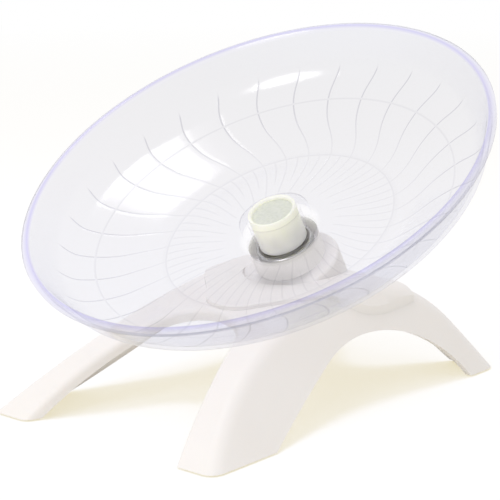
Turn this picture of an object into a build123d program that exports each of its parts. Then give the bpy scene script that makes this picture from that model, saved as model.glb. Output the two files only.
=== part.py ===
from build123d import *
import os
from math import acos, cos, degrees, hypot, radians, sin, tan

# Exercise saucer for small rodents: a clear dish that turns on a tilted bearing, over an arched
# stand with four feet. Millimetres, +Z up. The origin is on the table under the middle of the
# stand. The dish leans towards -Y, and the object is the same on both sides of the YZ plane.

# Place and tilt of the dish. The rise is from the top of the stand to the middle of the rim.
dish_diameter = 180.0
dish_tilt = 28.5
rim_rise = 44.0
rim_setback = 3.0

# Dish wall, with depths measured down the dish axis from the plane of the rim
dish_wall = 1.3
rim_width = 3.0
rim_thickness = 2.4
rim_overhang = 0.9
rim_edge_radius = 0.8
wall_foot_radius = 80.4
wall_foot_depth = 17.0
wall_bend_radius = 14.0
floor_radius = 48.0
floor_depth = 29.4
floor_bend_radius = 30.0

# Raised rings moulded on the inside of the dish
ring_radii = (69.0, 44.0)
ring_width = 1.2
ring_height = 0.5

# Grip ribs inside the dish, each a flat S from the rim wall to the hub. The shares give places
# along a rib, as parts of its outer radius and of the angle from one rib to the next.
rib_count = 30
rib_start_angle = 3.3
rib_width = 0.8
rib_height = 0.4
rib_outer_radius = 81.2
rib_shares = (
    (1.0, 0.56),
    (0.93, 0.72),
    (0.84, 0.77),
    (0.74, 0.65),
    (0.63, 0.28),
    (0.53, 0.03),
    (0.44, 0.02),
    (0.36, 0.17),
    (0.27, 0.5),
)

# Hub of the dish, a tube that holds the bearing
collar_top_depth = 22.2
collar_wall = 2.4
collar_bore_radius = 10.2
collar_edge_radius = 0.8
collar_root_radius = 2.5
collar_skirt = 0.8

# Ball bearing with two shields
bearing_outer_diameter = 22.0
bearing_bore = 8.0
bearing_width = 7.0
bearing_top_depth = 35.5
inner_land_radius = 6.05
outer_land_radius = 9.3
ball_diameter = 3.97
ball_count = 7
ball_play = 0.04
race_chamfer = 0.3
cage_thickness = 1.2
cage_width = 5.2
cage_play = 0.12
shield_thickness = 0.3
shield_inset = 0.35
shield_gap = 0.25
shield_seat_radius = 9.9
press_clearance = 0.02

# Hub cap with its captive nut
cap_radius = 9.1
cap_top_depth = 20.4
cap_recess_radius = 7.8
cap_recess_depth = 1.2
cap_edge_radius = 1.0
cap_foot_radius = 0.5
nut_width = 13.0
nut_height = 6.5
nut_clearance = 0.1

# Axle bolt and what it clamps
bolt_clearance = 0.05
spacer_radius = 5.6
upper_spacer_thickness = 0.7
lower_spacer_thickness = 2.0
bolt_head_width = 13.0
bolt_head_height = 5.3
bolt_tip_length = 0.6
bolt_chamfer = 0.8
washer_radius = 8.0
washer_thickness = 1.6

# Post that carries the axle, with a saddle plate that lies on the stand. The root and the reach
# are how far the column and its spigot go down the dish axis from the height of the stand's top.
post_radius = 18.0
post_root = 20.4
post_edge_radius = 1.2
spigot_radius = 9.5
spigot_clearance = 0.15
spigot_reach = 11.9
saddle_thickness = 1.4
saddle_front_y = -20.5
saddle_shoulder_x = 14.0
saddle_shoulder_y = -13.0
saddle_corner_x = 27.0
saddle_corner_y = 0.0
saddle_side_x = 33.5
saddle_side_y = 14.0
saddle_tip_x = 36.0
saddle_tip_y = 46.0
saddle_back_y = 44.5
pocket_clearance = 0.6

# Self-tapping screws that hold the post down
screw_spacing = 28.0
screw_y = 26.0
screw_diameter = 3.0
screw_length = 10.0
screw_head_diameter = 5.5
screw_head_height = 2.2
screw_edge_radius = 0.5
screw_clearance = 0.05
screw_boss_radius = 4.0
screw_seat_height = 34.0

# Stand
stand_length = 168.0
stand_front_half_width = 54.5
stand_rear_half_width = 47.5
stand_height = 41.5
stand_apex_y = 22.0
rear_slope = 50.0
front_flank_draft = 36.0
rear_flank_draft = 18.0
stand_wall = 2.6
ridge_radius = 7.0

# Gaps between the two front feet and between the two rear feet, as seen from above
front_gap_half_width = 37.0
front_gap_end = 22.0
front_gap_radius = 20.0
rear_gap_half_width = 33.0
rear_gap_end = 48.0
rear_gap_radius = 11.0
gap_edge_radius = 2.5
gap_wall_height = 4.0

# Arched opening under each side, with its ends set in from the ends of the stand
side_arch_front_inset = 33.0
side_arch_rear_inset = 17.0
side_arch_height = 26.0
side_arch_apex_y = 16.0
side_arch_slope = 25.5

# Closed soles and the anti-slip pads let into them. Each pair of insets is measured from the
# corner of the stand's outline, across it and along it.
sole_thickness = 2.4
front_sole_inner_inset = (21.5, 3.0)
front_sole_outer_inset = (-3.5, 27.0)
rear_sole_inner_inset = (17.5, 6.0)
rear_sole_outer_inset = (-2.5, 18.0)
pad_length = 9.0
pad_width = 5.5
pad_thickness = 1.2
pad_proud = 0.6
pad_clearance = 0.1
pad_corner_radius = 1.5
front_pad_inset = (8.1, 8.7)
front_pad_turn = 44.0
rear_pad_inset = (6.9, 7.8)
rear_pad_turn = 31.0

# One overrun serves every cut
overrun = 5.0

# The dish axis, the plane of the rim and the plane that revolved outlines are drawn on
tilt = radians(dish_tilt)
rim_centre = Vector(0, -rim_setback, stand_height + rim_rise)
axis_direction = Vector(0, -sin(tilt), cos(tilt))
dish_axis = Axis(rim_centre, axis_direction)
dish_plane = Plane(origin=rim_centre, x_dir=(1, 0, 0), z_dir=axis_direction)
profile_plane = Plane(origin=rim_centre, x_dir=(1, 0, 0), z_dir=(0, -cos(tilt), -sin(tilt)))

# Sizes that follow from the ones above
dish_radius = dish_diameter / 2
bearing_radius = bearing_outer_diameter / 2
bore_radius = bearing_bore / 2
bearing_bottom_depth = bearing_top_depth + bearing_width
bearing_middle_depth = bearing_top_depth + bearing_width / 2
collar_radius = bearing_radius + collar_wall
collar_bottom_depth = bearing_bottom_depth + collar_skirt
cap_foot_depth = bearing_top_depth - upper_spacer_thickness
nut_top_depth = cap_foot_depth - nut_height
bolt_tip_depth = nut_top_depth - bolt_tip_length
bolt_radius = bore_radius - bolt_clearance
post_top_depth = bearing_bottom_depth + lower_spacer_thickness
stand_top_depth = rim_rise / cos(tilt)
post_root_depth = stand_top_depth + post_root
spigot_depth = stand_top_depth + spigot_reach
washer_bottom_depth = spigot_depth + washer_thickness

os.makedirs("parts", exist_ok=True)


def keep(piece, name):
    """Label a finished piece and write it to its own file."""
    piece.label = name
    export_step(piece, "parts/" + name + ".step")


def depth_plane(depth):
    """Plane square to the dish axis, at a depth below the plane of the rim."""
    return dish_plane.offset(-depth)


def corner(outline, radius, depth):
    """Corner of a revolved outline that lies nearest to a radius and a depth."""
    return outline.vertices().sort_by_distance((radius, -depth, 0))[0]


def ring(inner_radius, outer_radius, top_depth, bottom_depth):
    """Plain ring on the dish axis."""
    with BuildPart() as part:
        with BuildSketch(depth_plane(bottom_depth)):
            Circle(outer_radius)
            Circle(inner_radius, mode=Mode.SUBTRACT)
        extrude(amount=bottom_depth - top_depth)
    return part.part


def rib_edge(side):
    """Points along one edge of a grip rib, from the rim wall to the hub."""
    points = []
    for radius_share, turn_share in rib_shares:
        radius = radius_share * rib_outer_radius
        turn = radians(turn_share * 360 / rib_count) + side * rib_width / (2 * radius)
        points.append((radius * cos(turn), radius * sin(turn)))
    return points


# Grip rib: a strip that follows the inside of the dish, half sunk into it, in the dish's own frame
with BuildPart() as grip_rib:
    with BuildSketch(Plane.XZ):
        with BuildLine():
            FilletPolyline(
                (collar_radius, -floor_depth),
                (floor_radius, -floor_depth),
                (wall_foot_radius, -wall_foot_depth),
                (dish_radius - rim_width, 0),
                radius=(floor_bend_radius, wall_bend_radius),
            )
        trace(line_width=2 * rib_height)
    revolve(axis=Axis.Z, revolution_arc=360 / rib_count)
    with BuildSketch():
        with BuildLine():
            near_edge = Spline(*rib_edge(-1))
            far_edge = Spline(*rib_edge(1))
            Line(near_edge @ 0, far_edge @ 0)
            Line(near_edge @ 1, far_edge @ 1)
        make_face()
    extrude(amount=-floor_depth - overrun, mode=Mode.INTERSECT)

# Dish: one clear moulding with a steep rim wall, a shallow cone, a flat floor and the hub tube
cone_slope = (floor_depth - wall_foot_depth) / (wall_foot_radius - floor_radius)
wall_slope = wall_foot_depth / (dish_radius - rim_width - wall_foot_radius)
lip_radius = dish_radius - rim_overhang - rim_thickness / wall_slope
with BuildPart() as dish:
    with BuildSketch(profile_plane) as dish_outline:
        with BuildLine():
            Polyline(
                (dish_radius, 0),
                (dish_radius, -rim_thickness),
                (lip_radius, -rim_thickness),
                (wall_foot_radius + dish_wall, -wall_foot_depth - dish_wall / 2),
                (floor_radius, -floor_depth - dish_wall),
                (collar_radius, -floor_depth - dish_wall),
                (collar_radius, -collar_bottom_depth),
                (bearing_radius + press_clearance, -collar_bottom_depth),
                (bearing_radius + press_clearance, -bearing_top_depth),
                (collar_bore_radius, -bearing_top_depth),
                (collar_bore_radius, -collar_top_depth),
                (collar_radius, -collar_top_depth),
                (collar_radius, -floor_depth),
                (floor_radius, -floor_depth),
                (wall_foot_radius, -wall_foot_depth),
                (dish_radius - rim_width, 0),
                close=True,
            )
        make_face()
        fillet([corner(dish_outline, dish_radius, 0)], rim_edge_radius)
        fillet([corner(dish_outline, dish_radius - rim_width, 0)], rim_edge_radius)
        fillet([corner(dish_outline, wall_foot_radius, wall_foot_depth)], wall_bend_radius)
        outer_bend = corner(dish_outline, wall_foot_radius + dish_wall, wall_foot_depth + dish_wall / 2)
        fillet([outer_bend], wall_bend_radius + dish_wall)
        fillet([corner(dish_outline, floor_radius, floor_depth)], floor_bend_radius)
        fillet([corner(dish_outline, floor_radius, floor_depth + dish_wall)], floor_bend_radius)
        fillet([corner(dish_outline, collar_radius, collar_top_depth)], collar_edge_radius)
        fillet([corner(dish_outline, collar_radius, floor_depth)], collar_root_radius)
        fillet([corner(dish_outline, collar_radius, floor_depth + dish_wall)], collar_root_radius)
    revolve(axis=dish_axis)
    for ring_radius in ring_radii:
        ring_depth = floor_depth - max(ring_radius - floor_radius, 0) * cone_slope
        with BuildSketch(profile_plane):
            with Locations((ring_radius, -ring_depth)):
                Ellipse(ring_width / 2, ring_height)
        revolve(axis=dish_axis)
    with Locations(dish_plane):
        with PolarLocations(0, rib_count, start_angle=rib_start_angle):
            add(grip_rib.part)
keep(dish.part, "dish")

# Ball bearing pressed into the hub tube: the outer race and both shields turn with the dish
pitch_radius = (bearing_radius + bore_radius) / 2
ball_radius = ball_diameter / 2
groove_radius = ball_radius + ball_play
with BuildPart() as bearing_outer_race:
    with BuildSketch(profile_plane) as race_outline:
        with BuildLine():
            Polyline(
                (bearing_radius, -bearing_top_depth),
                (bearing_radius, -bearing_bottom_depth),
                (shield_seat_radius, -bearing_bottom_depth),
                (shield_seat_radius, -bearing_bottom_depth + shield_inset + shield_thickness),
                (outer_land_radius, -bearing_bottom_depth + shield_inset + shield_thickness),
                (outer_land_radius, -bearing_top_depth - shield_inset - shield_thickness),
                (shield_seat_radius, -bearing_top_depth - shield_inset - shield_thickness),
                (shield_seat_radius, -bearing_top_depth),
                close=True,
            )
        make_face()
        chamfer([corner(race_outline, bearing_radius, bearing_top_depth)], race_chamfer)
        chamfer([corner(race_outline, bearing_radius, bearing_bottom_depth)], race_chamfer)
        with Locations((pitch_radius, -bearing_middle_depth)):
            Circle(groove_radius, mode=Mode.SUBTRACT)
    revolve(axis=dish_axis)
keep(bearing_outer_race.part, "bearing_outer_race")

with BuildPart() as bearing_inner_race:
    with BuildSketch(profile_plane) as race_outline:
        with Locations(((bore_radius + inner_land_radius) / 2, -bearing_middle_depth)):
            Rectangle(inner_land_radius - bore_radius, bearing_width)
        chamfer([corner(race_outline, bore_radius, bearing_top_depth)], race_chamfer)
        chamfer([corner(race_outline, bore_radius, bearing_bottom_depth)], race_chamfer)
        with Locations((pitch_radius, -bearing_middle_depth)):
            Circle(groove_radius, mode=Mode.SUBTRACT)
    revolve(axis=dish_axis)
keep(bearing_inner_race.part, "bearing_inner_race")

with BuildPart(depth_plane(bearing_middle_depth)) as bearing_balls:
    with PolarLocations(pitch_radius, ball_count, start_angle=90):
        Sphere(ball_radius)
keep(bearing_balls.part, "bearing_balls")

with BuildPart(depth_plane(bearing_middle_depth)) as bearing_cage:
    Cylinder(pitch_radius + cage_thickness / 2, cage_width)
    Cylinder(pitch_radius - cage_thickness / 2, cage_width, mode=Mode.SUBTRACT)
    with PolarLocations(pitch_radius, ball_count, start_angle=90):
        Cylinder(ball_radius + cage_play, bearing_bore, rotation=(0, 90, 0), mode=Mode.SUBTRACT)
keep(bearing_cage.part, "bearing_cage")

shield_top_depth = bearing_top_depth + shield_inset
shield_bottom_depth = bearing_bottom_depth - shield_inset
for name, face_depth in (
    ("bearing_shield_upper", shield_top_depth),
    ("bearing_shield_lower", shield_bottom_depth - shield_thickness),
):
    shield = ring(
        inner_land_radius + shield_gap,
        shield_seat_radius - press_clearance,
        face_depth,
        face_depth + shield_thickness,
    )
    keep(shield, name)

# Spacers that hold the inner race clear of the cap above it and of the post below it
upper_spacer = ring(bore_radius, spacer_radius, cap_foot_depth, bearing_top_depth)
keep(upper_spacer, "spacer_upper")
lower_spacer = ring(bore_radius, spacer_radius, bearing_bottom_depth, post_top_depth)
keep(lower_spacer, "spacer_lower")

# Hub cap: a white knob with a shallow round recess on top and a nut pressed in from below
with BuildPart() as hub_cap:
    with BuildSketch(depth_plane(cap_foot_depth)):
        Circle(cap_radius)
    extrude(amount=cap_foot_depth - cap_top_depth)
    with BuildSketch(depth_plane(cap_top_depth)):
        Circle(cap_recess_radius)
    extrude(amount=-cap_recess_depth, mode=Mode.SUBTRACT)
    rings = hub_cap.edges().filter_by(GeomType.CIRCLE).sort_by(dish_axis)
    fillet(rings[-1], cap_edge_radius)
    fillet(rings[0], cap_foot_radius)
    with BuildSketch(depth_plane(cap_foot_depth)):
        RegularPolygon((nut_width + nut_clearance) / 2, 6, major_radius=False)
    extrude(amount=nut_height, mode=Mode.SUBTRACT)
    with BuildSketch(depth_plane(nut_top_depth)):
        Circle(bore_radius)
    extrude(amount=2 * bolt_tip_length, mode=Mode.SUBTRACT)
keep(hub_cap.part, "hub_cap")

with BuildPart() as cap_nut:
    with BuildSketch(depth_plane(cap_foot_depth)):
        RegularPolygon(nut_width / 2, 6, major_radius=False)
        Circle(bore_radius, mode=Mode.SUBTRACT)
    extrude(amount=nut_height)
keep(cap_nut.part, "cap_nut")

# Axle bolt: passed up through the post and the bearing into the nut of the cap
with BuildPart() as axle_bolt:
    with BuildSketch(depth_plane(washer_bottom_depth)):
        Circle(bolt_radius)
    extrude(amount=washer_bottom_depth - bolt_tip_depth)
    chamfer(axle_bolt.edges().filter_by(GeomType.CIRCLE).sort_by(dish_axis)[-1], bolt_chamfer)
    with BuildSketch(depth_plane(washer_bottom_depth)):
        RegularPolygon(bolt_head_width / 2, 6, major_radius=False)
    extrude(amount=-bolt_head_height)
keep(axle_bolt.part, "axle_bolt")

bolt_washer = ring(bore_radius, washer_radius, spigot_depth, washer_bottom_depth)
keep(bolt_washer, "bolt_washer")

# Side view of the stand: a long arc down to the front feet, and a short arc that runs into a
# straight slope down to the rear feet
front_run = stand_length / 2 + stand_apex_y
rear_run = stand_length / 2 - stand_apex_y
slope = radians(rear_slope)
front_arc_radius = (front_run**2 + stand_height**2) / (2 * stand_height)
rear_arc_radius = (rear_run * tan(slope) - stand_height) / (sin(slope) * tan(slope) + cos(slope) - 1)


def side_form(inset):
    """Solid under the side view of the stand's top, drawn in by the inset, wider than the stand."""
    front_z = stand_height - front_arc_radius
    rear_z = stand_height - rear_arc_radius
    front_radius = front_arc_radius - inset
    rear_radius = rear_arc_radius - inset
    front_turn = degrees(acos((-overrun - front_z) / front_radius))
    slope_y = stand_apex_y + rear_radius * sin(slope)
    slope_z = rear_z + rear_radius * cos(slope)
    toe_y = slope_y + (slope_z + overrun) / tan(slope)
    with BuildPart() as form:
        with BuildSketch(Plane.YZ):
            with BuildLine():
                front = CenterArc((stand_apex_y, front_z), front_radius, 90, front_turn)
                CenterArc((stand_apex_y, rear_z), rear_radius, 90, -rear_slope)
                Polyline((slope_y, slope_z), (toe_y, -overrun), front @ 1)
            make_face()
        extrude(amount=stand_length, both=True)
    return form.part


def stand_form(inset):
    """Solid between the stand's top and its sloping flanks, all drawn in by the inset."""
    ends = (
        (-stand_length / 2, stand_front_half_width, radians(front_flank_draft)),
        (stand_length / 2, stand_rear_half_width, radians(rear_flank_draft)),
    )
    top_z = stand_height + overrun
    with BuildPart() as form:
        for end_y, half_width, draft in ends:
            foot_x = half_width + overrun * tan(draft) - inset / cos(draft)
            top_x = foot_x - (top_z + overrun) * tan(draft)
            with BuildSketch(Plane.XZ.offset(-end_y)):
                with BuildLine():
                    corners = ((-foot_x, -overrun), (foot_x, -overrun), (top_x, top_z), (-top_x, top_z))
                    Polyline(*corners, close=True)
                make_face()
        loft(ruled=True)
        add(side_form(inset), mode=Mode.INTERSECT)
        ridges = form.edges().filter_by(lambda edge: abs(edge.center().X) > overrun)
        fillet(ridges.filter_by(lambda edge: edge.center().Z > 0), ridge_radius - inset)
    return form.part


def gap_plan(margin):
    """Both gaps seen from above: straight sides that close in to a round end, plus a margin."""
    gaps = (
        (-1, front_gap_half_width, front_gap_end, front_gap_radius),
        (1, rear_gap_half_width, rear_gap_end, rear_gap_radius),
    )
    with BuildSketch() as plan:
        for side, half_width, end, radius in gaps:
            middle = end + radius
            run = stand_length / 2 - middle
            turn = acos(radius / hypot(half_width, run)) + acos(run / hypot(half_width, run))
            touch_x = radius * sin(turn)
            touch_y = middle + radius * cos(turn)
            mouth_y = stand_length / 2 + overrun
            mouth_x = touch_x + (half_width - touch_x) * (mouth_y - touch_y) / (stand_length / 2 - touch_y)
            with BuildLine():
                ThreePointArc((-touch_x, side * touch_y), (0, side * end), (touch_x, side * touch_y))
                Polyline(
                    (touch_x, side * touch_y),
                    (mouth_x, side * mouth_y),
                    (-mouth_x, side * mouth_y),
                    (-touch_x, side * touch_y),
                )
            make_face()
        if margin:
            offset(amount=margin)
    return plan.sketch


outer_form = stand_form(0)

# Hollow under the stand: it keeps a wall round each gap, no deeper than the wall height, and
# the closed soles of the feet
with BuildPart() as gap_walls:
    with BuildSketch(Plane.XY.offset(-2 * overrun)):
        add(gap_plan(stand_wall))
    extrude(amount=stand_height + 2 * overrun)
    add(side_form(gap_wall_height), mode=Mode.SUBTRACT)
with BuildPart() as hollow:
    add(stand_form(stand_wall))
    add(gap_walls.part, mode=Mode.SUBTRACT)
    for side, half_width, inner, outer in (
        (-1, stand_front_half_width, front_sole_inner_inset, front_sole_outer_inset),
        (1, stand_rear_half_width, rear_sole_inner_inset, rear_sole_outer_inset),
    ):
        for mirror_x in (-1, 1):
            inner_x = mirror_x * (half_width - inner[0])
            outer_x = mirror_x * (half_width - outer[0])
            with BuildSketch(Plane.XY.offset(pad_proud + sole_thickness)):
                with BuildLine():
                    Polyline(
                        (inner_x, side * (stand_length / 2 - inner[1])),
                        (outer_x, side * (stand_length / 2 - outer[1])),
                        (outer_x, side * stand_length),
                        (inner_x, side * stand_length),
                        close=True,
                    )
                make_face()
            extrude(amount=-stand_height, mode=Mode.SUBTRACT)

# Stand: one white moulding, open below
arch_turn = radians(side_arch_slope)
arch_front_y = side_arch_front_inset - stand_length / 2
arch_rear_y = stand_length / 2 - side_arch_rear_inset
arch_front_run = side_arch_apex_y - arch_front_y
arch_rear_run = arch_rear_y - side_arch_apex_y
arch_front_radius = (arch_front_run * tan(arch_turn) - side_arch_height) / (
    sin(arch_turn) * tan(arch_turn) + cos(arch_turn) - 1
)
arch_rear_radius = (arch_rear_run**2 + side_arch_height**2) / (2 * side_arch_height)
arch_front_z = side_arch_height - arch_front_radius
arch_rear_z = side_arch_height - arch_rear_radius
front_pad_x = stand_front_half_width - front_pad_inset[0]
front_pad_y = stand_length / 2 - front_pad_inset[1]
rear_pad_x = stand_rear_half_width - rear_pad_inset[0]
rear_pad_y = stand_length / 2 - rear_pad_inset[1]
pad_places = (
    ("front_left", -front_pad_x, -front_pad_y, -front_pad_turn),
    ("front_right", front_pad_x, -front_pad_y, front_pad_turn),
    ("rear_left", -rear_pad_x, rear_pad_y, rear_pad_turn),
    ("rear_right", rear_pad_x, rear_pad_y, -rear_pad_turn),
)
with BuildPart() as stand_shell:
    add(outer_form)
    with BuildSketch(Plane.XY.offset(-2 * overrun)):
        add(gap_plan(0))
    extrude(amount=stand_height + 3 * overrun, mode=Mode.SUBTRACT)
    brims = stand_shell.edges(Select.LAST).filter_by(Axis.Z, reverse=True)
    fillet(brims.filter_by(lambda edge: edge.center().Z > 0), gap_edge_radius)
    add(hollow.part, mode=Mode.SUBTRACT)
    with BuildSketch(Plane.YZ):
        with BuildLine():
            CenterArc((side_arch_apex_y, arch_front_z), arch_front_radius, 90, side_arch_slope)
            rear_turn = degrees(acos((-overrun - arch_rear_z) / arch_rear_radius))
            rear = CenterArc((side_arch_apex_y, arch_rear_z), arch_rear_radius, 90, -rear_turn)
            line_y = side_arch_apex_y - arch_front_radius * sin(arch_turn)
            line_z = arch_front_z + arch_front_radius * cos(arch_turn)
            Polyline((line_y, line_z), (arch_front_y - overrun / tan(arch_turn), -overrun), rear @ 1)
        make_face()
    extrude(amount=stand_length, both=True, mode=Mode.SUBTRACT)
    with BuildSketch(Plane.XY.offset(pad_proud)):
        Rectangle(stand_length, stand_length + 4 * overrun)
    extrude(amount=-stand_height, mode=Mode.SUBTRACT)
    # Bosses for the two screws
    with BuildSketch(Plane.XY.offset(screw_seat_height)):
        with GridLocations(screw_spacing, 0, 2, 1):
            with Locations((0, screw_y)):
                Circle(screw_boss_radius)
    extrude(until=Until.NEXT)
    with BuildSketch(Plane.XY.offset(screw_seat_height)):
        with GridLocations(screw_spacing, 0, 2, 1):
            with Locations((0, screw_y)):
                Circle(screw_diameter / 2 + screw_clearance)
    extrude(amount=screw_length, mode=Mode.SUBTRACT)
    # Hole for the spigot of the post, and a pocket that clears the hub of the dish
    with BuildSketch(depth_plane(spigot_depth + overrun)):
        Circle(spigot_radius + spigot_clearance)
    extrude(amount=spigot_depth, mode=Mode.SUBTRACT)
    with BuildSketch(depth_plane(post_top_depth)):
        Circle(post_radius + pocket_clearance)
    extrude(amount=post_top_depth, mode=Mode.SUBTRACT)
    # Recesses for the pads
    with BuildSketch(Plane.XY.offset(pad_proud)):
        for name, pad_x, pad_y, turn in pad_places:
            with Locations((pad_x, pad_y)):
                RectangleRounded(
                    pad_length + 2 * pad_clearance,
                    pad_width + 2 * pad_clearance,
                    pad_corner_radius + pad_clearance,
                    rotation=turn,
                )
    extrude(amount=pad_thickness - pad_proud, mode=Mode.SUBTRACT)
keep(stand_shell.part, "stand_shell")

# Post: a column square to the dish axis, with a saddle plate over the top of the stand and a
# spigot that goes down through it
with BuildPart() as saddle:
    add(stand_form(-saddle_thickness))
    with BuildSketch():
        with BuildLine():
            Spline(
                (0, saddle_front_y),
                (saddle_shoulder_x, saddle_shoulder_y),
                (saddle_corner_x, saddle_corner_y),
                (saddle_side_x, saddle_side_y),
                (saddle_tip_x, saddle_tip_y),
                tangents=((1, 0), (0, 1)),
            )
            ThreePointArc(
                (saddle_tip_x, saddle_tip_y), (0, saddle_back_y), (-saddle_tip_x, saddle_tip_y)
            )
            Spline(
                (-saddle_tip_x, saddle_tip_y),
                (-saddle_side_x, saddle_side_y),
                (-saddle_corner_x, saddle_corner_y),
                (-saddle_shoulder_x, saddle_shoulder_y),
                (0, saddle_front_y),
                tangents=((0, -1), (1, 0)),
            )
        make_face()
    extrude(amount=stand_height + 2 * overrun, mode=Mode.INTERSECT)
    with BuildSketch(depth_plane(post_top_depth)):
        Circle(post_radius + pocket_clearance)
    extrude(amount=post_top_depth, mode=Mode.SUBTRACT)
with BuildPart() as post:
    with BuildSketch(depth_plane(post_top_depth)):
        Circle(post_radius)
    extrude(amount=post_top_depth - post_root_depth)
    fillet(post.edges().filter_by(GeomType.CIRCLE).sort_by(dish_axis)[-1], post_edge_radius)
    add(saddle.part)
    add(outer_form, mode=Mode.SUBTRACT)
    with BuildSketch(depth_plane(spigot_depth)):
        Circle(spigot_radius)
    extrude(amount=spigot_depth - post_top_depth - overrun)
    with BuildSketch(depth_plane(spigot_depth)):
        Circle(bore_radius)
    extrude(amount=spigot_depth - post_top_depth, mode=Mode.SUBTRACT)
    with BuildSketch(Plane.XY.offset(screw_seat_height)):
        with GridLocations(screw_spacing, 0, 2, 1):
            with Locations((0, screw_y)):
                Circle(screw_diameter / 2 + screw_clearance)
    extrude(amount=screw_length + screw_diameter / 2, mode=Mode.SUBTRACT)
keep(post.part, "post")

# Screws: a shank and a flat head each, driven up from below
with BuildPart() as post_screws:
    with GridLocations(screw_spacing, 0, 2, 1):
        with Locations((0, screw_y, screw_seat_height)):
            Cylinder(screw_diameter / 2, screw_length, align=(Align.CENTER, Align.CENTER, Align.MIN))
            Cylinder(
                screw_head_diameter / 2, screw_head_height, align=(Align.CENTER, Align.CENTER, Align.MAX)
            )
    heads = post_screws.edges().filter_by(GeomType.CIRCLE).group_by(Axis.Z)[0]
    fillet(heads, screw_edge_radius)
keep(post_screws.part, "post_screws")

# Anti-slip pads: the lower part of each stands proud of the sole
for name, pad_x, pad_y, turn in pad_places:
    with BuildPart() as pad:
        with BuildSketch():
            with Locations((pad_x, pad_y)):
                RectangleRounded(pad_length, pad_width, pad_corner_radius, rotation=turn)
        extrude(amount=pad_thickness)
    keep(pad.part, "pad_" + name)
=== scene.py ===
import math

import bmesh
import bpy
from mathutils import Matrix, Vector


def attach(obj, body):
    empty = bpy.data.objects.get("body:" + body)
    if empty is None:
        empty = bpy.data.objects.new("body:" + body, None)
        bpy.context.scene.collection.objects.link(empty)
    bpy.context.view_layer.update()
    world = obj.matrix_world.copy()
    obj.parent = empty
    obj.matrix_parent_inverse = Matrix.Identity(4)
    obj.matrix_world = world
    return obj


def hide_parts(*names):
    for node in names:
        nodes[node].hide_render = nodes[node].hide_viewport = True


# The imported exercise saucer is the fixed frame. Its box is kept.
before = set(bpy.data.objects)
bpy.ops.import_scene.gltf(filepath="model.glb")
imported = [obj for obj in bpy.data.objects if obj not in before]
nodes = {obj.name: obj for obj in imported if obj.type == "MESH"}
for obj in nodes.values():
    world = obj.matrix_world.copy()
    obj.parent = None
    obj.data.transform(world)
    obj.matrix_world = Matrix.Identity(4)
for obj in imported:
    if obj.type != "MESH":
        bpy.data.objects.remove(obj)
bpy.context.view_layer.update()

# Camera. It stands in front of the low side of the dish, to the right, and looks a little down
# through a long lens, which is where the photograph was taken from.
lens = bpy.data.cameras.new("long_lens")
lens.sensor_width = 36
lens.lens = 172.8
lens.clip_start = 0.01
camera = bpy.data.objects.new("camera", lens)
camera.location = (0.5644, -0.6335, 0.2653)
camera.rotation_euler = (math.radians(76), 0, math.radians(41.92))
bpy.context.collection.objects.link(camera)
bpy.context.scene.camera = camera


# Dish. One injection moulding in clear polystyrene: a thick lip, a steep wall, a shallow cone, a
# flat floor and the hub tube, which holds the ball bearing it turns on. Thin S-shaped grip ribs,
# finer lines and two raised rings stand on its inside. Its sizes are in mm.
MM = 0.001
TILT = math.radians(28.5)
RIM_CENTRE = Vector((0, -3.0, 85.5)) * MM
# Corners of the outline: radius, height over the plane of the rim and bend radius
INSIDE = (
    (13.4, -29.4, 2.5), (48.0, -29.4, 30.0), (80.4, -17.0, 14.0), (87.0, 0.0, 0.8),
)
OUTSIDE = (
    (90.0, 0.0, 0.8), (90.0, -2.4, 0.25), (88.2, -2.4, 0.25), (81.7, -17.65, 15.3),
    (48.0, -30.7, 30.0), (13.4, -30.7, 2.5), (13.4, -43.3, 0.15), (11.02, -43.3, 0.15),
    (11.02, -35.5, 0.1), (10.2, -35.5, 0.15), (10.2, -22.2, 0.15), (13.4, -22.2, 0.8),
)
RIB_COUNT, RIB_WIDTH, RIB_HEIGHT = 30, 0.8, 0.045
RIB_INNER_RADIUS, RIB_OUTER_RADIUS, RIB_FADE = 21.9, 81.2, 0.8
RIB_START_DEG = 3.3
# The S of a rib: shares of its outer radius, and the share of the pitch that it has swung there
RIB_SHARES = (
    (1.0, 0.56), (0.93, 0.72), (0.84, 0.77), (0.74, 0.65), (0.63, 0.28),
    (0.53, 0.03), (0.44, 0.02), (0.36, 0.17), (0.27, 0.5),
)
# A finer line lies half-way between two ribs, and half its width is given as a share of the gap
LINE_INNER_RADIUS, LINE_OUTER_RADIUS, LINE_FADE, LINE_HALF_WIDTH = 29.0, 46.0, 3.0, 0.06
RING_RADII, RING_WIDTH, RING_HEIGHT = (69.0, 44.0), 0.8, 0.05
# Where the mesh has its columns: shares of half a rib, and shares of the gap to the next rib
RIB_COLUMNS = (-1.0, -0.85, -0.4, 0.0, 0.4, 0.85, 1.0)
GAP_COLUMNS = (0.14, 0.3, 0.44, 0.47, 0.5, 0.53, 0.56, 0.7, 0.86, 1.0)
# Its rows: the usual spacing, the least spacing, and how near to the ends of a long straight
ROW_SPACING, ROW_LEAST, LONG_STRAIGHT, END_ROW = 1.7, 0.12, 4.0, 0.4
RING_ROWS = (-0.52, -0.46, -0.3, 0.0, 0.3, 0.46, 0.52)
LIP_FOOT_ROWS = (86.3, 86.5)
# What lies within this radius is the hidden inner side of the hub tube
TUBE_FACE = 12.0


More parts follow.
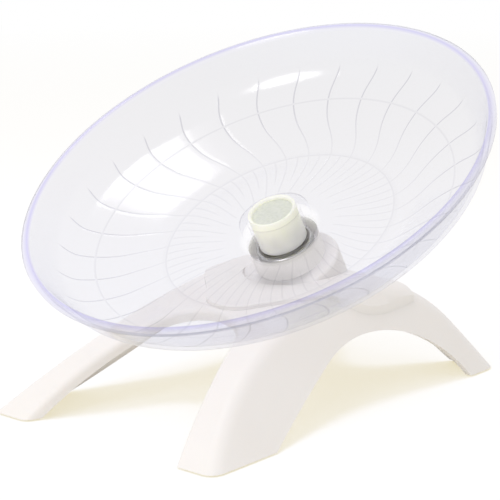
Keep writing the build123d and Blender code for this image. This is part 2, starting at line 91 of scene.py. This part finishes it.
def bends_of(corners, degrees_each=7.0):
    """The closed outline through the corners: for each, the (radius, height) points of its bend."""
    bends = []
    for i, (x, z, radius) in enumerate(corners):
        here = Vector((x, z))
        to_last = (Vector(corners[i - 1][:2]) - here).normalized()
        to_next = (Vector(corners[(i + 1) % len(corners)][:2]) - here).normalized()
        opening = to_last.angle(to_next)
        reach = radius / math.tan(opening / 2)
        middle = here + (to_last + to_next).normalized() * radius / math.sin(opening / 2)
        start, end = here + to_last * reach - middle, here + to_next * reach - middle
        steps = max(2, math.ceil(math.degrees(math.pi - opening) / degrees_each))
        turn = start.angle_signed(end)
        bend = []
        for k in range(steps + 1):
            a = -turn * k / steps
            bend.append(middle + Vector((
                start.x * math.cos(a) - start.y * math.sin(a),
                start.x * math.sin(a) + start.y * math.cos(a),
            )))
        bends.append(bend)
    return bends


def dish_rows():
    """Points round the outline, close together where ribs and rings need it, with the outward
    direction of each and whether it lies on the ribbed inside."""
    bends = bends_of(INSIDE + OUTSIDE)
    outline = [point for bend in bends for point in bend]
    inside_count = sum(len(bend) for bend in bends[:len(INSIDE)])
    wanted = {*LIP_FOOT_ROWS, *(ring + RING_WIDTH * k for ring in RING_RADII for k in RING_ROWS)}
    rows = []
    for i, here in enumerate(outline):
        after = outline[(i + 1) % len(outline)]
        length = (after - here).length
        inside = i < inside_count
        upright = abs(after.x - here.x) < 1e-6
        close = inside or upright and here.x > TUBE_FACE
        count = max(1, round(length / ROW_SPACING)) if close else 1
        shares = {k / count for k in range(count)}
        # Rows near both ends of a long straight keep the rounded shading of the bends off it
        if length > LONG_STRAIGHT:
            shares |= {END_ROW / length, 1 - END_ROW / length}
        if inside and not upright:
            crossed = ((radius - here.x) / (after.x - here.x) for radius in wanted)
            shares |= {share for share in crossed if 0 < share < 1}
        last = -1
        for share in sorted(shares):
            if (share - last) * length > ROW_LEAST:
                rows.append((here.lerp(after, share), inside))
                last = share
    made = []
    for i, (here, inside) in enumerate(rows):
        along = (rows[(i + 1) % len(rows)][0] - rows[i - 1][0]).normalized()
        made.append((here, Vector((-along.y, along.x)), inside))
    return made


def rib_turn(radius):
    """Share of the pitch by which a grip rib has swung round at a radius: a smooth S."""
    places = [(share * RIB_OUTER_RADIUS, turn) for share, turn in RIB_SHARES]
    if radius >= places[0][0]:
        return places[0][1]
    if radius <= places[-1][0]:
        return places[-1][1]
    for i in range(len(places) - 1):
        (r1, t1), (r2, t2) = places[i], places[i + 1]
        if r2 <= radius <= r1:
            r0, t0 = places[max(i - 1, 0)]
            r3, t3 = places[min(i + 2, len(places) - 1)]
            slope_1 = (t2 - t0) / (r2 - r0)
            slope_2 = (t3 - t1) / (r3 - r1)
            s, span = (radius - r1) / (r2 - r1), r2 - r1
            return (
                (2 * s**3 - 3 * s**2 + 1) * t1 + (s**3 - 2 * s**2 + s) * span * slope_1
                + (3 * s**2 - 2 * s**3) * t2 + (s**3 - s**2) * span * slope_2
            )


def grown(value, start, full):
    """How far something has grown at a value, from 0 where it starts to 1 where it is full."""
    return min(max((value - start) / (full - start), 0), 1)


def raised(radius, across, gap_share):
    """Height of the ribs, rings and finer lines over the inside of the dish."""
    fade = min(
        grown(radius, RIB_OUTER_RADIUS, RIB_OUTER_RADIUS - RIB_FADE),
        grown(radius, RIB_INNER_RADIUS, RIB_INNER_RADIUS + RIB_FADE),
    )
    rib = RIB_HEIGHT * fade * max(0, 1 - (2 * across / RIB_WIDTH) ** 2)
    ring = 0
    for ring_radius in RING_RADII:
        share = 2 * abs(radius - ring_radius) / RING_WIDTH
        if share < 1:
            ring = RING_HEIGHT * math.sqrt(1 - share**2)
    line = RIB_HEIGHT * min(
        grown(radius, LINE_INNER_RADIUS, LINE_INNER_RADIUS + LINE_FADE),
        grown(radius, LINE_OUTER_RADIUS, LINE_OUTER_RADIUS - LINE_FADE),
    )
    line *= max(0, 1 - (abs(gap_share - 0.5) / LINE_HALF_WIDTH) ** 2)
    return max(rib, ring, line)


# Marks on the mesh for its material. What is raised gets a painted grey shade, standing in for the
# light that the curved plastic bends away, in full from the second of these radii outwards and
# fainter towards the middle and in the rings.
PAINTED_SHADE_RADII, FAINTEST_PAINTED_SHADE = (42.0, 67.0), 0.25
# The violet lies along the inner edge of the lip and fades over its crest to its outer side
LIP_EDGE, LIP_CREST, LIP_EDGE_DEPTH, LIP_DEPTH, OUTER_VIOLET = 86.7, 88.1, 2.0, 2.6, 0.25
# The hub tube is the clearest, then the outer side of the lip. The tube's lower end gets a painted
# near-white on its outer face, standing in for the reflections that whiten it.
TUBE_RADII, OUTER_LIP_CLEARNESS = (16.0, 14.0), 0.55
PAINTED_WHITE_HEIGHTS = (-34.2, -35.0)


def dish_sector():
    """Mesh of one pitch of the dish, with its marks: columns lie along the rib and rows round the
    outline."""
    pitch = math.tau / RIB_COUNT
    width = len(RIB_COLUMNS) + len(GAP_COLUMNS)
    rows = dish_rows()
    points, faces = [], []
    marks = {"line": [], "lip": [], "clearest": [], "painted_white": []}
    for i, (here, outward, inside) in enumerate(rows):
        radius = here.x
        start = math.radians(RIB_START_DEG) + rib_turn(radius) * pitch
        # In the narrow hub tube the rib's columns take a third of the pitch
        rib_span = min(RIB_WIDTH, pitch * radius / 3)
        gap_span = pitch * radius - rib_span
        places = [(share * rib_span / 2, 0) for share in RIB_COLUMNS]
        places += [(rib_span / 2 + share * gap_span, share) for share in GAP_COLUMNS]
        # Painted shade on what is raised, standing in for the light that the curved plastic bends
        # away
        ringed = any(abs(radius - ring) < RING_WIDTH / 2 for ring in RING_RADII)
        grey = FAINTEST_PAINTED_SHADE if ringed else max(grown(radius, *PAINTED_SHADE_RADII), FAINTEST_PAINTED_SHADE)
        for across, gap_share in places:
            lift = raised(radius, across, gap_share) if inside else 0
            at = here + outward * lift
            turn = start + across / radius
            points.append((at.x * MM * math.cos(turn), at.x * MM * math.sin(turn), at.y * MM))
            marks["line"].append(lift / RIB_HEIGHT * grey)
        for k in range(width - 1):
            a, b = i * width + k, (i + 1) % len(rows) * width + k
            faces.append((a, b, b + 1, a + 1))
        outer_lip = radius > LIP_CREST and here.y > -LIP_DEPTH
        inner_lip = radius > LIP_EDGE and here.y > -LIP_EDGE_DEPTH
        tube = grown(radius, *TUBE_RADII)
        # Painted white on the lower end of the tube's outer face, standing in for its reflections
        painted_white = tube * grown(here.y, *PAINTED_WHITE_HEIGHTS) if radius > TUBE_FACE else 0
        marks["lip"] += [OUTER_VIOLET if outer_lip else float(inner_lip)] * width
        marks["clearest"] += [OUTER_LIP_CLEARNESS if outer_lip else tube] * width
        marks["painted_white"] += [painted_white] * width
    mesh = bpy.data.meshes.new("dish_sector")
    mesh.from_pydata(points, [], faces)
    mesh.update()
    for name, values in marks.items():
        mesh.attributes.new(name, "FLOAT", "POINT").data.foreach_set("value", values)
    return bpy.data.objects.new("dish_sector", mesh)


def put(tree, kind, links=(), **settings):
    """Adds a node to a tree, with its properties and with what feeds each of its inputs."""
    made = tree.nodes.new(kind)
    for name, value in settings.items():
        setattr(made, name, value)
    for socket, value in dict(links).items():
        if isinstance(value, bpy.types.NodeSocket):
            tree.links.new(value, made.inputs[socket])
        else:
            made.inputs[socket].default_value = value
    return made


def repeat_round_axis():
    """Geometry nodes: the given piece repeated round the Z axis, welded, and set on a tilted
    axis."""
    tree = bpy.data.node_groups.new("repeat_round_axis", "GeometryNodeTree")
    for name, kind in (
        ("Piece", "NodeSocketGeometry"), ("Count", "NodeSocketInt"),
        ("Weld", "NodeSocketFloat"), ("Tilt", "NodeSocketFloat"),
        ("Centre", "NodeSocketVector"), ("Finish", "NodeSocketMaterial"),
    ):
        tree.interface.new_socket(name=name, in_out="INPUT", socket_type=kind)
    tree.interface.new_socket(name="Made", in_out="OUTPUT", socket_type="NodeSocketGeometry")
    given = put(tree, "NodeGroupInput").outputs
    spots = put(tree, "GeometryNodePoints", {"Count": given["Count"]})
    step = put(tree, "ShaderNodeMath", {0: math.tau, 1: given["Count"]}, operation="DIVIDE")
    index = put(tree, "GeometryNodeInputIndex")
    turn = put(tree, "ShaderNodeMath", {
        0: index.outputs[0], 1: step.outputs[0],
    }, operation="MULTIPLY")
    turned = put(tree, "ShaderNodeCombineXYZ", {"Z": turn.outputs[0]})
    copies = put(tree, "GeometryNodeInstanceOnPoints", {
        "Points": spots.outputs[0], "Instance": given["Piece"], "Rotation": turned.outputs[0],
    })
    real = put(tree, "GeometryNodeRealizeInstances", {"Geometry": copies.outputs[0]})
    welded = put(tree, "GeometryNodeMergeByDistance", {
        "Geometry": real.outputs[0], "Distance": given["Weld"],
    })
    leaned = put(tree, "ShaderNodeCombineXYZ", {"X": given["Tilt"]})
    placed = put(tree, "GeometryNodeTransform", {
        "Geometry": welded.outputs[0], "Translation": given["Centre"],
        "Rotation": leaned.outputs[0],
    })
    smooth = put(tree, "GeometryNodeSetShadeSmooth", {"Geometry": placed.outputs[0]})
    finished = put(tree, "GeometryNodeSetMaterial", {
        "Geometry": smooth.outputs[0], "Material": given["Finish"],
    })
    put(tree, "NodeGroupOutput", {"Made": finished.outputs[0]})
    return tree


def made_by_nodes(source, tree, name, values):
    """Runs a geometry tree on an object and keeps the result as a plain mesh object."""
    bpy.context.collection.objects.link(source)
    modifier = source.modifiers.new("made_by_nodes", "NODES")
    modifier.node_group = tree
    sockets = {s.name: s.identifier for s in tree.interface.items_tree if s.in_out == "INPUT"}
    for key, value in values.items():
        modifier[sockets[key]] = value
    bpy.context.view_layer.update()
    evaluated = source.evaluated_get(bpy.context.evaluated_depsgraph_get())
    mesh = bpy.data.meshes.new_from_object(evaluated)
    bpy.data.objects.remove(source)
    mesh.name = name
    made = bpy.data.objects.new(name, mesh)
    bpy.context.collection.objects.link(made)
    return made


def bare_material(name):
    """A new material whose node tree is empty."""
    made = bpy.data.materials.new(name)
    made.use_nodes = True
    made.node_tree.nodes.clear()
    return made


def linear(hex_colour):
    """A colour written as an sRGB hex value, as the linear numbers that a shader takes."""
    parts = [int(hex_colour[i:i + 2], 16) / 255 for i in (1, 3, 5)]
    return (*(p / 12.92 if p <= 0.04045 else ((p + 0.055) / 1.055) ** 2.4 for p in parts), 1.0)


# Clear polystyrene, injection moulded and polished. The walls are thin, so light goes nearly
# straight through. A faint blue toner shows violet blue in the thick lip, the raised ribs and
# rings get a painted grey shade that stands in for the light they bend away, and the polished
# faces mirror the lamps.
clear_polystyrene = bare_material("clear_polystyrene")
tree = clear_polystyrene.node_tree
place = put(tree, "ShaderNodeTexCoord").outputs["Object"]
# Flow waviness of the moulding, about 9 mm from crest to crest, and fine polish marks of 0.8 mm
wave = put(tree, "ShaderNodeTexNoise", {"Vector": place, "Scale": 110.0, "Detail": 1.0})
fine_marks = put(tree, "ShaderNodeTexNoise", {
    "Vector": place, "Scale": 1200.0, "Detail": 2.0,
})
wavy = put(tree, "ShaderNodeBump", {
    "Height": wave.outputs["Fac"], "Distance": 0.04 * MM, "Strength": 0.5,
})
haze = put(tree, "ShaderNodeMapRange", {
    "Value": fine_marks.outputs["Fac"], "To Min": 0.11, "To Max": 0.17,
})
# What a look through it is tinted with: the wall, a little bluer where it is steep to the eye, then
# the painted grey shade of the lines, the violet lip and what is clearest
turned_away = put(tree, "ShaderNodeLayerWeight", {"Blend": 0.5})
steep = put(tree, "ShaderNodeMath", {0: turned_away.outputs["Facing"], 1: 9.0}, operation="POWER")
wall_tint = put(tree, "ShaderNodeMix", {
    0: steep.outputs[0], 6: linear("#F7F7F9"), 7: linear("#F5F5FA"),
}, data_type="RGBA")
line = put(tree, "ShaderNodeAttribute", attribute_name="line").outputs["Fac"]
# Painted shade: the raised ribs, rings and lines are tinted grey where the real plastic bends the
# light away
with_painted_line_shade = put(tree, "ShaderNodeMix", {
    0: line, 6: wall_tint.outputs[2], 7: linear("#DCDCE2"),
}, data_type="RGBA")
lip = put(tree, "ShaderNodeAttribute", attribute_name="lip").outputs["Fac"]
violet = put(tree, "ShaderNodeMix", {
    0: lip, 6: with_painted_line_shade.outputs[2], 7: linear("#DEDBF9"),
}, data_type="RGBA")
clearest = put(tree, "ShaderNodeAttribute", attribute_name="clearest").outputs["Fac"]
tint = put(tree, "ShaderNodeMix", {
    0: clearest, 6: violet.outputs[2], 7: linear("#FDFDFE"),
}, data_type="RGBA")
through = put(tree, "ShaderNodeBsdfTransparent", {"Color": tint.outputs[2]})
# Right at its edges the thick plastic bends the light away, which draws a thin grey outline
outline = put(tree, "ShaderNodeMath", {
    0: turned_away.outputs["Facing"], 1: 14.0,
}, operation="POWER")
edge_tone = put(tree, "ShaderNodeMix", {
    0: outline.outputs[0], 6: linear("#FFFFFF"), 7: linear("#E2E2EA"),
}, data_type="RGBA")
polish = put(tree, "ShaderNodeBsdfAnisotropic", {
    "Color": edge_tone.outputs[2], "Roughness": haze.outputs[0], "Normal": wavy.outputs[0],
})
# The far face of a wall mirrors as much as the near one, so its index is turned over
far_face = put(tree, "ShaderNodeNewGeometry").outputs["Backfacing"]
index = put(tree, "ShaderNodeMapRange", {"Value": far_face, "To Min": 1.5, "To Max": 0.667})
mirrored = put(tree, "ShaderNodeFresnel", {"IOR": index.outputs[0], "Normal": wavy.outputs[0]})
# The clearest places mirror less, and the tight curve of a rib or ring scatters what it mirrors
calm = put(tree, "ShaderNodeMapRange", {"Value": clearest, "To Min": 1.0, "To Max": 0.4})
scattered = put(tree, "ShaderNodeMapRange", {
    "Value": line, "From Max": 0.3, "To Min": 1.0, "To Max": 0.1,
})
for share in (calm, scattered):
    mirrored = put(tree, "ShaderNodeMath", {
        0: mirrored.outputs[0], 1: share.outputs[0],
    }, operation="MULTIPLY")
clear = put(tree, "ShaderNodeMixShader", {
    0: mirrored.outputs[0], 1: through.outputs[0], 2: polish.outputs[0],
})
# The lower end of the hub tube gets a painted near-white, standing in for the reflections that
# whiten it there, which hides the bearing behind it
painted_white = put(tree, "ShaderNodeAttribute", attribute_name="painted_white").outputs["Fac"]
painted_white_share = put(tree, "ShaderNodeMath", {0: painted_white, 1: 0.88}, operation="MULTIPLY")
painted_reflection_white = put(tree, "ShaderNodeBsdfDiffuse", {"Color": linear("#FDFBFA")})
with_painted_white = put(tree, "ShaderNodeMixShader", {
    0: painted_white_share.outputs[0], 1: clear.outputs[0], 2: painted_reflection_white.outputs[0],
})
# Light of the lamps and of the surround goes on through the thin walls, so what stands below is
# lit as in the open
lit_through = put(tree, "ShaderNodeBsdfTransparent", {"Color": linear("#FDFDFE")})
path = put(tree, "ShaderNodeLightPath")
lighting = put(tree, "ShaderNodeMath", {
    0: path.outputs["Is Shadow Ray"], 1: path.outputs["Is Diffuse Ray"],
}, operation="ADD", use_clamp=True)
see_through = put(tree, "ShaderNodeMixShader", {
    0: lighting.outputs[0], 1: with_painted_white.outputs[0], 2: lit_through.outputs[0],
})
put(tree, "ShaderNodeOutputMaterial", {"Surface": see_through.outputs[0]})

dish = made_by_nodes(dish_sector(), repeat_round_axis(), "clear_dish", {
    "Count": RIB_COUNT, "Weld": 0.004 * MM, "Tilt": TILT, "Centre": RIM_CENTRE,
    "Finish": clear_polystyrene,
})
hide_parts("dish")
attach(dish, "saucer")


# Ball bearing. Rings and balls of ground chrome steel, with a riveted sheet cage and two pressed
# shields, pushed into the hub tube from below. Its upper edge shows through the tube as a dark
# crescent, and the rest lies behind the painted white on the tube's lower end.

def give(material, *names):
    """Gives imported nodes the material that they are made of."""
    for name in names:
        nodes[name].data.materials.clear()
        nodes[name].data.materials.append(material)


bearing_steel = bare_material("ground_chrome_steel")
tree = bearing_steel.node_tree
place = put(tree, "ShaderNodeTexCoord").outputs["Object"]
# Grinding lines, 0.15 mm apart. They lie level and not square to the leaning axis, which is too
# fine to tell on rings of this size
grinding = put(tree, "ShaderNodeMapping", {
    "Vector": place, "Rotation": (-TILT, 0, 0), "Scale": (600.0, 600.0, 6500.0),
})
grain = put(tree, "ShaderNodeTexNoise", {
    "Vector": grinding.outputs[0], "Scale": 1.0, "Detail": 2.0,
})
shine = put(tree, "ShaderNodeMapRange", {
    "Value": grain.outputs["Fac"], "To Min": 0.16, "To Max": 0.34,
})
ground = put(tree, "ShaderNodeBump", {"Height": grain.outputs["Fac"], "Distance": 0.004 * MM})
tone = put(tree, "ShaderNodeMix", {
    0: grain.outputs["Fac"], 6: linear("#B4B3B1"), 7: linear("#C8C7C4"),
}, data_type="RGBA")
steel = put(tree, "ShaderNodeBsdfPrincipled", {
    "Base Color": tone.outputs[2], "Metallic": 1.0, "Roughness": shine.outputs[0],
    "Normal": ground.outputs[0],
})
put(tree, "ShaderNodeOutputMaterial", {"Surface": steel.outputs[0]})
give(bearing_steel, "bearing_outer_race", "bearing_inner_race", "bearing_balls")

# Cold-rolled sheet of the cage and the shields: duller, with the rolling's tone in clouds of 1.4 mm
rolled_sheet = bare_material("cold_rolled_sheet_steel")
tree = rolled_sheet.node_tree
place = put(tree, "ShaderNodeTexCoord").outputs["Object"]
cloud = put(tree, "ShaderNodeTexNoise", {"Vector": place, "Scale": 700.0, "Detail": 3.0})
tone = put(tree, "ShaderNodeMix", {
    0: cloud.outputs["Fac"], 6: linear("#6E6A66"), 7: linear("#8C8883"),
}, data_type="RGBA")
dull = put(tree, "ShaderNodeMapRange", {
    "Value": cloud.outputs["Fac"], "To Min": 0.3, "To Max": 0.5,
})
rolled = put(tree, "ShaderNodeBump", {"Height": cloud.outputs["Fac"], "Distance": 0.008 * MM})
sheet = put(tree, "ShaderNodeBsdfPrincipled", {
    "Base Color": tone.outputs[2], "Metallic": 1.0, "Roughness": dull.outputs[0],
    "Normal": rolled.outputs[0],
})
put(tree, "ShaderNodeOutputMaterial", {"Surface": sheet.outputs[0]})
give(rolled_sheet, "bearing_cage", "bearing_shield_upper", "bearing_shield_lower")


# Hub cap. A knob moulded in natural polypropylene, so it is white with a faint green and lets
# some light into itself. Its round recess is left bare. It is screwed down by the nut inside it.
natural_polypropylene = bare_material("natural_polypropylene")
tree = natural_polypropylene.node_tree
place = put(tree, "ShaderNodeTexCoord").outputs["Object"]
# Cloudiness of the melt, 3 mm across, and the fine spark texture of the mould, 0.3 mm
melt = put(tree, "ShaderNodeTexNoise", {"Vector": place, "Scale": 330.0, "Detail": 2.0})
spark = put(tree, "ShaderNodeTexNoise", {"Vector": place, "Scale": 3300.0, "Detail": 1.0})
body = put(tree, "ShaderNodeMix", {
    0: melt.outputs["Fac"], 6: linear("#F1F8DF"), 7: linear("#F8FDEC"),
}, data_type="RGBA")
# The floor of the recess is greyer, in blots of 1.1 mm
mottle = put(tree, "ShaderNodeTexNoise", {"Vector": place, "Scale": 900.0, "Detail": 3.0})
greyer_recess_floor = put(tree, "ShaderNodeMix", {
    0: mottle.outputs["Fac"], 6: linear("#C3C7C0"), 7: linear("#E2E4DE"),
}, data_type="RGBA")
# Its place is measured from the middle of the rim on the tilted axis, in mm. Of the cap's top, only
# the floor of the recess lies so low
RECESS_RADIUS, RECESS_HEIGHT = 7.75, -21.5
on_axis = put(tree, "ShaderNodeMapping", {
    "Vector": place, "Location": RIM_CENTRE, "Rotation": (TILT, 0, 0),
}, vector_type="TEXTURE")
along = put(tree, "ShaderNodeSeparateXYZ", {0: on_axis.outputs[0]})
flat = put(tree, "ShaderNodeVectorMath", {
    0: on_axis.outputs[0], 1: (1, 1, 0),
}, operation="MULTIPLY")
out = put(tree, "ShaderNodeVectorMath", {0: flat.outputs[0]}, operation="LENGTH")
within = put(tree, "ShaderNodeMath", {
    0: out.outputs["Value"], 1: RECESS_RADIUS * MM,
}, operation="LESS_THAN")
low = put(tree, "ShaderNodeMath", {
    0: along.outputs["Z"], 1: RECESS_HEIGHT * MM,
}, operation="LESS_THAN")
recessed = put(tree, "ShaderNodeMath", {
    0: within.outputs[0], 1: low.outputs[0],
}, operation="MULTIPLY")
tone = put(tree, "ShaderNodeMix", {
    0: recessed.outputs[0], 6: body.outputs[2], 7: greyer_recess_floor.outputs[2],
}, data_type="RGBA")
sparked = put(tree, "ShaderNodeBump", {"Height": spark.outputs["Fac"], "Distance": 0.01 * MM})
waxy = put(tree, "ShaderNodeBsdfPrincipled", {
    "Base Color": tone.outputs[2], "Roughness": 0.34, "IOR": 1.49, "Subsurface Weight": 0.9,
    "Subsurface Radius": (1.0, 1.0, 0.8), "Subsurface Scale": 6.0 * MM,
    "Normal": sparked.outputs[0],
})
put(tree, "ShaderNodeOutputMaterial", {"Surface": waxy.outputs[0]})
give(natural_polypropylene, "hub_cap")


# Axle bolt, nut, washer, spacers and screws. Steel, cold headed or turned, with a bright zinc
# plating. The bolt clamps the cap, the spacers and the inner ring to the post.
zinc_plate = bare_material("bright_zinc_plated_steel")
tree = zinc_plate.node_tree
place = put(tree, "ShaderNodeTexCoord").outputs["Object"]
# Spangle of the plating, 1.1 mm across, and its cloudy tone, 4 mm
spangle = put(tree, "ShaderNodeTexVoronoi", {
    "Vector": place, "Scale": 900.0, "Randomness": 1.0,
})
cloud = put(tree, "ShaderNodeTexNoise", {"Vector": place, "Scale": 260.0, "Detail": 3.0})
tone = put(tree, "ShaderNodeMix", {
    0: cloud.outputs["Fac"], 6: linear("#A9ADB4"), 7: linear("#C9CBCD"),
}, data_type="RGBA")
dull = put(tree, "ShaderNodeMapRange", {
    "Value": spangle.outputs["Distance"], "To Min": 0.22, "To Max": 0.4,
})
plated = put(tree, "ShaderNodeBump", {"Height": cloud.outputs["Fac"], "Distance": 0.01 * MM})
zinc = put(tree, "ShaderNodeBsdfPrincipled", {
    "Base Color": tone.outputs[2], "Metallic": 1.0, "Roughness": dull.outputs[0],
    "Normal": plated.outputs[0],
})
put(tree, "ShaderNodeOutputMaterial", {"Surface": zinc.outputs[0]})
give(
    zinc_plate, "axle_bolt", "cap_nut", "bolt_washer", "spacer_upper", "spacer_lower",
    "post_screws",
)


# Stand and post. Two mouldings in white ABS: the arched shell with its four feet, open below, and
# the column with its saddle plate, screwed down on it from inside. Satin from a fine mould grain.
white_abs = bare_material("white_moulded_abs")
tree = white_abs.node_tree
place = put(tree, "ShaderNodeTexCoord").outputs["Object"]
# Mould grain of 0.5 mm, and the slow tone of the flow, 30 mm across
grain = put(tree, "ShaderNodeTexNoise", {"Vector": place, "Scale": 2000.0, "Detail": 2.0})
flow = put(tree, "ShaderNodeTexNoise", {"Vector": place, "Scale": 33.0, "Detail": 2.0})
tone = put(tree, "ShaderNodeMix", {
    0: flow.outputs["Fac"], 6: linear("#F1EDEB"), 7: linear("#F6F3F2"),
}, data_type="RGBA")
satin = put(tree, "ShaderNodeMapRange", {
    "Value": grain.outputs["Fac"], "To Min": 0.34, "To Max": 0.46,
})
grained = put(tree, "ShaderNodeBump", {"Height": grain.outputs["Fac"], "Distance": 0.008 * MM})
moulded = put(tree, "ShaderNodeBsdfPrincipled", {
    "Base Color": tone.outputs[2], "Roughness": satin.outputs[0], "IOR": 1.54,
    "Subsurface Weight": 0.12, "Subsurface Radius": (1.0, 0.9, 0.8),
    "Subsurface Scale": 1.0 * MM, "Normal": grained.outputs[0],
})
put(tree, "ShaderNodeOutputMaterial", {"Surface": moulded.outputs[0]})

# Edges that bend by more than this stay crisp, points as near as this become one, and a shorter
# edge than this goes, both in mm
SHARP_DEG, MERGE_DISTANCE, LEAST_EDGE = 24, 0.002, 0.0005


def smooth_copy(node, name):
    """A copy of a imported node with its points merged, rounded shading and crisp edges."""
    work = bmesh.new()
    work.from_mesh(nodes[node].data)
    bmesh.ops.remove_doubles(work, verts=work.verts, dist=MERGE_DISTANCE * MM)
    bmesh.ops.dissolve_degenerate(work, edges=work.edges, dist=LEAST_EDGE * MM)
    for face in work.faces:
        face.smooth = True
    sharp = math.radians(SHARP_DEG)
    for edge in work.edges:
        edge.smooth = len(edge.link_faces) == 2 and edge.calc_face_angle(0) < sharp
    mesh = bpy.data.meshes.new(name)
    work.to_mesh(mesh)
    work.free()
    mesh.materials.clear()
    made = bpy.data.objects.new(name, mesh)
    bpy.context.collection.objects.link(made)
    return made


for node, name in (("stand_shell", "stand_moulding"), ("post", "post_moulding")):
    piece = smooth_copy(node, name)
    piece.data.materials.append(white_abs)
    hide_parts(node)
    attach(piece, "stand")


# Anti-slip pads. Die-cut from pale EVA rubber and stuck into the soles of the feet. The foam's
# cells are 0.4 mm across.
pad_rubber = bare_material("pale_eva_rubber")
tree = pad_rubber.node_tree
place = put(tree, "ShaderNodeTexCoord").outputs["Object"]
cells = put(tree, "ShaderNodeTexVoronoi", {"Vector": place, "Scale": 2500.0})
tone = put(tree, "ShaderNodeMix", {
    0: cells.outputs["Distance"], 6: linear("#B9B8B5"), 7: linear("#CFCECB"),
}, data_type="RGBA")
foam = put(tree, "ShaderNodeBump", {"Height": cells.outputs["Distance"], "Distance": 0.03 * MM})
rubber = put(tree, "ShaderNodeBsdfPrincipled", {
    "Base Color": tone.outputs[2], "Roughness": 0.75, "Normal": foam.outputs[0],
})
put(tree, "ShaderNodeOutputMaterial", {"Surface": rubber.outputs[0]})
give(pad_rubber, "pad_front_left", "pad_front_right", "pad_rear_left", "pad_rear_right")


# Table. A sweep of white paper that clears to white in the view and keeps the object's shadow.
# Light from it reaches the object as from plain paper. Its sizes are in metres.
TABLE_REACH, CLEARING_START, CLEARING_END = 6, 0.35, 0.9

table_mesh = bpy.data.meshes.new("table")
table_mesh.from_pydata(
    [(x * TABLE_REACH, y * TABLE_REACH, 0) for x, y in ((-1, -1), (1, -1), (1, 1), (-1, 1))],
    [], [(0, 1, 2, 3)],
)
table = bpy.data.objects.new("table", table_mesh)
bpy.context.collection.objects.link(table)

white_sweep = bare_material("white_sweep")
tree = white_sweep.node_tree
paper = put(tree, "ShaderNodeBsdfDiffuse", {"Color": linear("#FFFCF3")})
# In the view and in mirrors the lit paper adds up to white and the shadow on it is a warm cream
shaded = put(tree, "ShaderNodeBsdfDiffuse", {"Color": linear("#A1AFD7")})
cream = put(tree, "ShaderNodeEmission", {"Color": linear("#D7CCA3"), "Strength": 1.0})
near = put(tree, "ShaderNodeAddShader", {0: shaded.outputs[0], 1: cream.outputs[0]})
# Away from the object, where the lamps fade, the sweep clears to plain white
place = put(tree, "ShaderNodeTexCoord").outputs["Object"]
away = put(tree, "ShaderNodeVectorMath", {0: place}, operation="LENGTH")
clearing = put(tree, "ShaderNodeMapRange", {
    "Value": away.outputs["Value"], "From Min": CLEARING_START, "From Max": CLEARING_END,
})
plain = put(tree, "ShaderNodeEmission", {"Color": linear("#FFFFFF"), "Strength": 1.0})
view = put(tree, "ShaderNodeMixShader", {
    0: clearing.outputs[0], 1: near.outputs[0], 2: plain.outputs[0],
})


def viewing_rays(tree):
    """1 for rays from the camera, mirrors and clear plastic, and 0 for light on its way."""
    path = put(tree, "ShaderNodeLightPath")
    seen = put(tree, "ShaderNodeMath", {
        0: path.outputs["Is Camera Ray"], 1: path.outputs["Is Glossy Ray"],
    }, operation="ADD")
    return put(tree, "ShaderNodeMath", {
        0: seen.outputs[0], 1: path.outputs["Is Transmission Ray"],
    }, operation="ADD", use_clamp=True)


sweep = put(tree, "ShaderNodeMixShader", {
    0: viewing_rays(tree).outputs[0], 1: paper.outputs[0], 2: view.outputs[0],
})
put(tree, "ShaderNodeOutputMaterial", {"Surface": sweep.outputs[0]})
table_mesh.materials.append(white_sweep)


# Light. A soft lamp straight above that mirrors don't show, a weak one beside it whose mirrored
# patch lies in the dish, a broad fill from the front, and a warm surround that looks plain white.
LAMP_TARGET = Vector((0, 0, 0.06))

for name, place, size, energy, mirrored, colour in (
    ("overhead_softbox", (-0.1, 0.04, 0.95), 0.3, 1.65, False, "#FFFDFF"),
    ("overhead_glow", (-0.13, 0.0, 0.95), 0.3, 0.62, True, "#FFFDFF"),
    ("front_fill", (0.05, -1.1, 0.75), 0.6, 3.6, True, "#FFFDFC"),
):
    lamp = bpy.data.lights.new(name, "AREA")
    lamp.shape = "DISK"
    lamp.size = size
    lamp.energy = energy
    lamp.color = linear(colour)[:3]
    holder = bpy.data.objects.new(name, lamp)
    holder.location = place
    holder.rotation_euler = (LAMP_TARGET - Vector(place)).to_track_quat("-Z", "Y").to_euler()
    holder.visible_glossy = mirrored
    bpy.context.collection.objects.link(holder)

world = bpy.data.worlds.new("surround")
world.use_nodes = True
bpy.context.scene.world = world
tree = world.node_tree
tree.nodes.clear()
warm = put(tree, "ShaderNodeBackground", {"Color": linear("#FCFBF8"), "Strength": 0.7})
white = put(tree, "ShaderNodeBackground", {"Color": linear("#FFFFFF"), "Strength": 1.0})
shown = put(tree, "ShaderNodeMixShader", {
    0: viewing_rays(tree).outputs[0], 1: warm.outputs[0], 2: white.outputs[0],
})
put(tree, "ShaderNodeOutputWorld", {"Surface": shown.outputs[0]})

bpy.context.scene.view_settings.view_transform = "Standard"
# A ray that grazes the dish crosses many clear faces before it gets out
bpy.context.scene.cycles.transparent_max_bounces = 40
bpy.context.scene.cycles.max_bounces = 16
bpy.context.scene.cycles.glossy_bounces = 12
